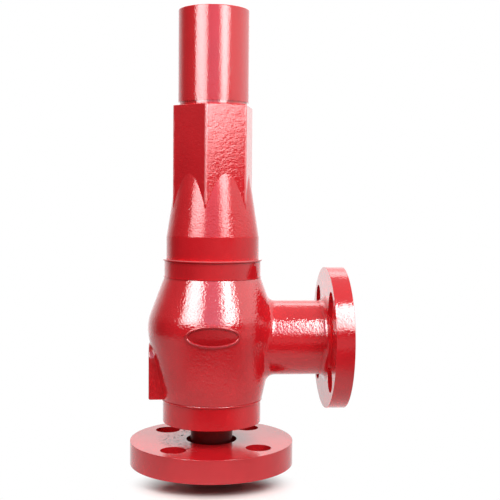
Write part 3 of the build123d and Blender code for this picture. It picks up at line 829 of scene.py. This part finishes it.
def hang_softbox(name, azimuth, width, outer, dimming, strength):
    """A mirrored softbox; outer is the side, -1 or 1, of its outer edge, or 0 for a level foot."""
    mesh = sheet_mesh(name, width / 2, (SOFTBOX_HIGH - SOFTBOX_LOW) / 2, upright=True)
    mesh.materials.append(softbox_glow(width, outer, dimming, strength))
    panel = bpy.data.objects.new(name, mesh)
    panel.location = around_valve(azimuth, SOFTBOX_DISTANCE, (SOFTBOX_LOW + SOFTBOX_HIGH) / 2)
    panel.rotation_euler = (0, 0, radians(azimuth))
    mirror_only(panel)


def raise_tent():
    """A round tent that the enamel mirrors: dark on the left, pale on the right and behind."""
    material, tree, glow = glowing("tent_cloth")
    x, y, z = coordinates(tree, place(tree))
    azimuth = azimuth_from_front(tree, x, y)
    aside = math_node(tree, "ABSOLUTE", azimuth)
    rise = step_up(tree, z, *LOW_TO_MIDDLE)
    level = mix_colours(tree, rise, ramp(tree, azimuth, TENT_LOW), ramp(tree, azimuth, TENT_MIDDLE))
    level = mix_colours(tree, step_up(tree, z, *MIDDLE_TO_HIGH), level, ramp(tree, azimuth, TENT_HIGH))
    crown = times(tree, step_up(tree, z, *CROWN_RISE), step_up(tree, aside, *CROWN_ASIDE))
    level = plus(tree, level, times(tree, crown, CROWN_GLOW))
    tree.links.new(level, glow.inputs["Strength"])
    cool = times(tree, rise, step_up(tree, aside, *COOL_ASIDE))
    tree.links.new(mix_colours(tree, cool, WHITE, TENT_COOL), glow.inputs["Color"])
    mesh = ring_mesh("studio_tent", TENT_STEPS, ((TENT_RADIUS, 0.0), (TENT_RADIUS, TENT_HEIGHT)))
    mesh.materials.append(material)
    mirror_only(bpy.data.objects.new("studio_tent", mesh))


def lay_floor_cloth():
    """A ring of cloth on the floor, seen only in gloss: dark in front of the valve, pale behind it."""
    material, tree, glow = glowing("floor_cloth_weave")
    x, y, _ = coordinates(tree, place(tree))
    aside = math_node(tree, "ABSOLUTE", azimuth_from_front(tree, x, y))
    far = distance_from_axis(tree, x, y)
    inner = step_up(tree, far, CLOTH_INNER + CLOTH_INNER_EDGE, CLOTH_INNER)
    pale = larger(tree, step_up(tree, aside, *DARK_TO_PALE), inner)
    glare = plus(tree, CLOTH_DARK, times(tree, pale, CLOTH_PALE))
    glare = plus(tree, glare, times(tree, step_up(tree, aside, *PALE_TO_BRIGHT), CLOTH_BRIGHT))
    tree.links.new(glare, glow.inputs["Strength"])
    mesh = ring_mesh("floor_cloth", CLOTH_STEPS, ((CLOTH_INNER, CLOTH_HEIGHT), (CLOTH_OUTER, CLOTH_HEIGHT)))
    mesh.materials.append(material)
    mirror_only(bpy.data.objects.new("floor_cloth", mesh))


def hang_lamp(name, azimuth, distance, power):
    """A lamp that faces the valve and gives soft light without a mirror image."""
    light = bpy.data.lights.new(name, "AREA")
    light.shape = "RECTANGLE"
    light.size = LAMP_WIDTH
    light.size_y = LAMP_HIGH - LAMP_LOW
    light.energy = power
    lamp = bpy.data.objects.new(name, light)
    lamp.location = around_valve(azimuth, distance, (LAMP_LOW + LAMP_HIGH) / 2)
    target = Vector((0, 0, LAMP_TARGET))
    lamp.rotation_mode = "QUATERNION"
    lamp.rotation_quaternion = (target - lamp.location).to_track_quat("-Z", "Y")
    lamp.visible_glossy = False
    bpy.context.scene.collection.objects.link(lamp)


def light_studio():
    """Softboxes, tent and cloth that the enamel mirrors, and three lamps for their soft light."""
    hang_softbox("left_softbox", azimuth=-42.5, width=0.33, outer=0, dimming=0.5, strength=27)
    hang_softbox("right_softbox", azimuth=32.5, width=0.30, outer=1, dimming=0.85, strength=30)
    raise_tent()
    lay_floor_cloth()
    hang_lamp("left_light", azimuth=-44, distance=0.70, power=3.4)
    hang_lamp("right_light", azimuth=30, distance=0.66, power=7.6)
    hang_lamp("back_light", azimuth=178, distance=0.90, power=4.5)


def seen_directly(tree):
    """1 for what the camera sees, straight or in gloss and glass."""
    path = tree.nodes.new("ShaderNodeLightPath")
    mirrored = plus(tree, path.outputs["Is Glossy Ray"], path.outputs["Is Transmission Ray"])
    return math_node(tree, "ADD", path.outputs["Is Camera Ray"], mirrored, clamp=True)


def mix_shaders(tree, share, first, second):
    """Mixes two shaders' light by a socket's share."""
    mix = tree.nodes.new("ShaderNodeMixShader")
    tree.links.new(share, mix.inputs[0])
    tree.links.new(first.outputs[0], mix.inputs[1])
    tree.links.new(second.outputs[0], mix.inputs[2])
    return mix.outputs[0]


def make_world():
    """White surroundings, which light the valve more from above than from the sides."""
    world = bpy.data.worlds.new("studio_room")
    world.use_nodes = True
    bpy.context.scene.world = world
    tree = world.node_tree
    tree.nodes.clear()
    way = tree.nodes.new("ShaderNodeTexCoord").outputs["Generated"]
    ambient = tree.nodes.new("ShaderNodeBackground")
    ambient.inputs["Color"].default_value = WHITE
    above = step_up(tree, coordinates(tree, way)[2], *ROOM_RISE)
    light = plus(tree, ROOM_LIGHT, times(tree, above, ROOM_LIGHT_ABOVE))
    tree.links.new(light, ambient.inputs["Strength"])
    backdrop = tree.nodes.new("ShaderNodeBackground")
    backdrop.inputs["Color"].default_value = WHITE
    backdrop.inputs["Strength"].default_value = 1.0
    output = tree.nodes.new("ShaderNodeOutputWorld")
    tree.links.new(mix_shaders(tree, seen_directly(tree), ambient, backdrop), output.inputs[0])


def lay_floor():
    """A plain pale floor: darkened near the valve by a painted shadow, and white further out, where it meets
    the backdrop.
    """
    material, tree, shader = new_material("pale_floor")
    x, y, _ = coordinates(tree, place(tree))
    far = distance_from_axis(tree, x, y)
    # Painted shadow: the floor's colour darkens towards the valve
    tint = mix_colours(tree, step_up(tree, far, *PAINTED_SHADOW_TO_NEAR), FLOOR_PAINTED_SHADOW, FLOOR_NEAR)
    tint = mix_colours(tree, step_up(tree, far, *NEAR_TO_FAR), tint, FLOOR_FAR)
    tree.links.new(tint, shader.inputs["Base Color"])
    shader.inputs["Roughness"].default_value = FLOOR_ROUGHNESS
    shader.inputs["Specular IOR Level"].default_value = FLOOR_GLOSS
    white = tree.nodes.new("ShaderNodeEmission")
    ahead = distance_from_axis(tree, x, plus(tree, y, SHADOW_AHEAD))
    blank = times(tree, seen_directly(tree), step_up(tree, ahead, *SHADOW_END))
    output = next(node for node in tree.nodes if node.type == "OUTPUT_MATERIAL")
    tree.links.new(mix_shaders(tree, blank, shader, white), output.inputs["Surface"])
    mesh = sheet_mesh("studio_floor", FLOOR_HALF, FLOOR_HALF, upright=False)
    mesh.materials.append(material)
    floor = bpy.data.objects.new("studio_floor", mesh)
    floor.location.z = FLOOR_DROP
    bpy.context.scene.collection.objects.link(floor)


make_camera()
dress_nodes()
halve_spring()
light_studio()
make_world()
lay_floor()
bpy.context.scene.view_settings.view_transform = "Standard"
